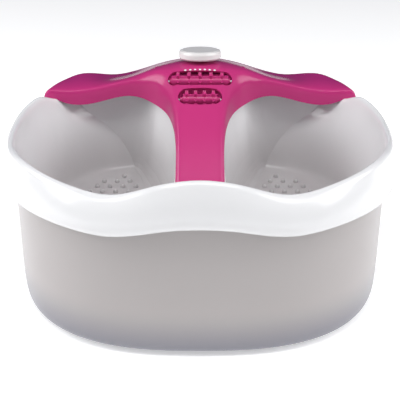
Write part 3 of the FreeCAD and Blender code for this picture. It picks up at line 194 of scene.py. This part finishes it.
def spread(tree, value, low, high):
    """Stretch a noise, which mostly lies between NOISE_LOW and NOISE_HIGH, to a range."""
    node = tree.nodes.new("ShaderNodeMapRange")
    node.clamp = False
    node.inputs["From Min"].default_value = NOISE_LOW
    node.inputs["From Max"].default_value = NOISE_HIGH
    node.inputs["To Min"].default_value = low
    node.inputs["To Max"].default_value = high
    tree.links.new(value, node.inputs["Value"])
    return node.outputs["Result"]


def axis_fade(tree, axis, low, high):
    """0 below one place on an axis and 1 above another, in metres, eased between."""
    place = tree.nodes.new("ShaderNodeTexCoord")
    split = tree.nodes.new("ShaderNodeSeparateXYZ")
    tree.links.new(place.outputs["Object"], split.inputs["Vector"])
    fade = tree.nodes.new("ShaderNodeMapRange")
    fade.interpolation_type = "SMOOTHSTEP"
    fade.inputs["From Min"].default_value = low
    fade.inputs["From Max"].default_value = high
    tree.links.new(split.outputs[axis], fade.inputs["Value"])
    return fade.outputs["Result"]


def moulded(name, dark, light, gloss, bump=0.02, coat=0.0, metal=0.0, shine=0.5,
            painted_light_tone=None, painted_light_zone=(0.0, 0.0), painted_light_axis="Z"):
    """A moulded or rolled surface: slow colour drift, uneven gloss, a fine skin texture and, where
    asked, painted light.

    painted_light_tone is painted light, the colour it fades to below painted_light_zone, two places
    along painted_light_axis: darker for painted shade, lighter for a painted sheen.
    """
    material = bpy.data.materials.new(name)
    material.use_nodes = True
    tree = material.node_tree
    shader = tree.nodes["Principled BSDF"]
    colour = mix_colour(tree, noise(tree, DRIFT_SCALE, 1.0), dark, light)
    # Painted light: along one axis the colour fades to a second tone, a darker one as painted shade, a
    # lighter one as a painted sheen.
    if painted_light_tone:
        painted_light_colour = mix_colour(tree, axis_fade(tree, painted_light_axis, *painted_light_zone), painted_light_tone, light)
        tree.links.new(colour, painted_light_colour.node.inputs["B"])
        colour = painted_light_colour
    tree.links.new(colour, shader.inputs["Base Color"])
    tree.links.new(spread(tree, noise(tree, GLOSS_SCALE, 1.0), gloss[0], gloss[1]),
                   shader.inputs["Roughness"])
    shader.inputs["Metallic"].default_value = metal
    shader.inputs["Specular IOR Level"].default_value = shine
    shader.inputs["Coat Weight"].default_value = coat
    shader.inputs["Coat Roughness"].default_value = COAT_ROUGHNESS
    relief = tree.nodes.new("ShaderNodeBump")
    relief.inputs["Strength"].default_value = bump
    relief.inputs["Distance"].default_value = GRAIN_DEPTH
    tree.links.new(noise(tree, GRAIN_SCALE, 2.0), relief.inputs["Height"])
    tree.links.new(relief.outputs["Normal"], shader.inputs["Normal"])
    return material


MATERIALS = {
    # white_abs darkens below the rim, deep in the wells: painted shade in the recesses.
    "white_abs": moulded("white_abs", (0.80, 0.80, 0.81), (0.83, 0.83, 0.84), (0.20, 0.25), coat=0.35,
                         painted_light_tone=(0.55, 0.53, 0.535), painted_light_zone=(0.062, 0.150)),
    # shell_abs: the grey base is partly the shell's own tone and partly painted shade on white plastic;
    # near the bottom it turns darker and bluish as painted shade and a painted dark reflection.
    "shell_abs": moulded("shell_abs", (0.410, 0.380, 0.376), (0.430, 0.399, 0.395), (0.29, 0.33),
                         coat=0.35, painted_light_tone=(0.190, 0.190, 0.230), painted_light_zone=(0.000, 0.056)),
    # magenta_abs is lighter towards the front and darker towards the back: a painted sheen at the
    # front, painted shade and a painted dark reflection at the back.
    "magenta_abs": moulded("magenta_abs", (0.30, 0.020, 0.135), (0.35, 0.025, 0.155), (0.20, 0.25),
                           coat=0.12, shine=0.3, painted_light_tone=(0.54, 0.036, 0.190),
                           painted_light_zone=(0.100, 0.150), painted_light_axis="Y"),
    "pin_steel": moulded("pin_steel", (0.60, 0.60, 0.62), (0.70, 0.70, 0.72), (0.29, 0.40), metal=1.0),
    "zinc_steel": moulded("zinc_steel", (0.50, 0.52, 0.55), (0.62, 0.63, 0.65), (0.35, 0.5), metal=1.0),
    "weight_brass": moulded("weight_brass", (0.60, 0.45, 0.20), (0.70, 0.55, 0.28), (0.35, 0.5),
                            metal=1.0),
    "heater_aluminium": moulded("heater_aluminium", (0.70, 0.70, 0.72), (0.80, 0.80, 0.82),
                                (0.35, 0.5), metal=1.0),
    "heater_steel": moulded("heater_steel", (0.30, 0.29, 0.28), (0.42, 0.40, 0.38), (0.4, 0.6),
                            metal=1.0),
    "motor_can": moulded("motor_can", (0.45, 0.46, 0.48), (0.58, 0.59, 0.60), (0.3, 0.45), metal=1.0),
    "inner_plastic": moulded("inner_plastic", (0.72, 0.70, 0.64), (0.80, 0.78, 0.72), (0.5, 0.65)),
    "black_plastic": moulded("black_plastic", (0.020, 0.020, 0.022), (0.032, 0.032, 0.035),
                             (0.45, 0.6)),
    "hose_silicone": moulded("hose_silicone", (0.66, 0.66, 0.64), (0.76, 0.76, 0.74), (0.35, 0.5)),
    "lead_pvc": moulded("lead_pvc", (0.55, 0.55, 0.57), (0.65, 0.65, 0.67), (0.4, 0.55)),
    "rubber": moulded("rubber", (0.018, 0.018, 0.018), (0.030, 0.030, 0.030), (0.6, 0.8), bump=0.1),
}
KNOB_WHITE = moulded("knob_white", (0.80, 0.785, 0.775), (0.86, 0.845, 0.835), (0.20, 0.25), coat=0.3)
MARK_WHITE = moulded("mark_white", (0.82, 0.80, 0.84), (0.88, 0.86, 0.90), (0.35, 0.45))


def dress_cad_nodes():
    slots = {row["node"]: row["material_slot"] for row in frame["record"]["subparts"]}
    for name, node in frame["nodes"].items():
        material = KNOB_WHITE if name == "mode_knob" else MATERIALS[slots[name]]
        node.data.materials.clear()
        node.data.materials.append(material)


# ------------------------------------------------------------------- pieces

MARK_COUNT = 7
MARK_SPACING = 0.0052
MARK_RADIUS = 0.0013
MARK_RISE = 0.0003
MARK_Y = 0.1015
MARK_BOW = 4.0
MARK_STEPS = 24
MARK_RINGS = [(1.0, -0.2), (1.0, 0.5), (0.85, 0.9), (0.5, 1.0)]
MARK_SHARP_ANGLE = 50.0
RAY_START_RISE = 0.05


def cover_surface(x, y):
    """The point on top of the console cover over a place in plan, and its normal."""
    cover = frame["nodes"]["console_cover"]
    start = Vector((x, y, HIGH.z + RAY_START_RISE))
    hit, place, normal, _ = cover.ray_cast(start, Vector((0, 0, -1)))
    if not hit:
        raise RuntimeError("no console cover at %g, %g" % (x, y))
    return place, normal


def mark_disc(mesh, place, normal):
    """A low dome of paint, round in plan, lying on the surface."""
    turn = normal.to_track_quat("Z", "Y")
    loops = []
    for part, rise in MARK_RINGS:
        loop = []
        for step in range(MARK_STEPS):
            angle = math.tau * step / MARK_STEPS
            local = Vector((math.cos(angle) * MARK_RADIUS * part,
                            math.sin(angle) * MARK_RADIUS * part, MARK_RISE * rise))
            loop.append(mesh.verts.new(place + turn @ local))
        loops.append(loop)
    for lower, upper in zip(loops, loops[1:]):
        for step in range(MARK_STEPS):
            after = (step + 1) % MARK_STEPS
            mesh.faces.new((lower[step], lower[after], upper[after], upper[step]))
    mesh.faces.new(loops[-1])
    mesh.faces.new(list(reversed(loops[0])))


def make_position_marks():
    """A short row of plain dots printed on the cover in front of the knob."""
    work = bmesh.new()
    for i in range(MARK_COUNT):
        x = (i - (MARK_COUNT - 1) / 2.0) * MARK_SPACING
        place, normal = cover_surface(x, MARK_Y - MARK_BOW * x * x)
        mark_disc(work, place, normal)
    mesh = bpy.data.meshes.new("position_marks")
    work.to_mesh(mesh)
    work.free()
    mesh.shade_smooth()
    mesh.set_sharp_from_angle(angle=math.radians(MARK_SHARP_ANGLE))
    mesh.materials.append(MARK_WHITE)
    marks = bpy.data.objects.new("position_marks", mesh)
    bpy.context.scene.collection.objects.link(marks)
    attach(marks, "root")


make_camera()
make_studio()
make_floor()
dress_cad_nodes()
make_position_marks()
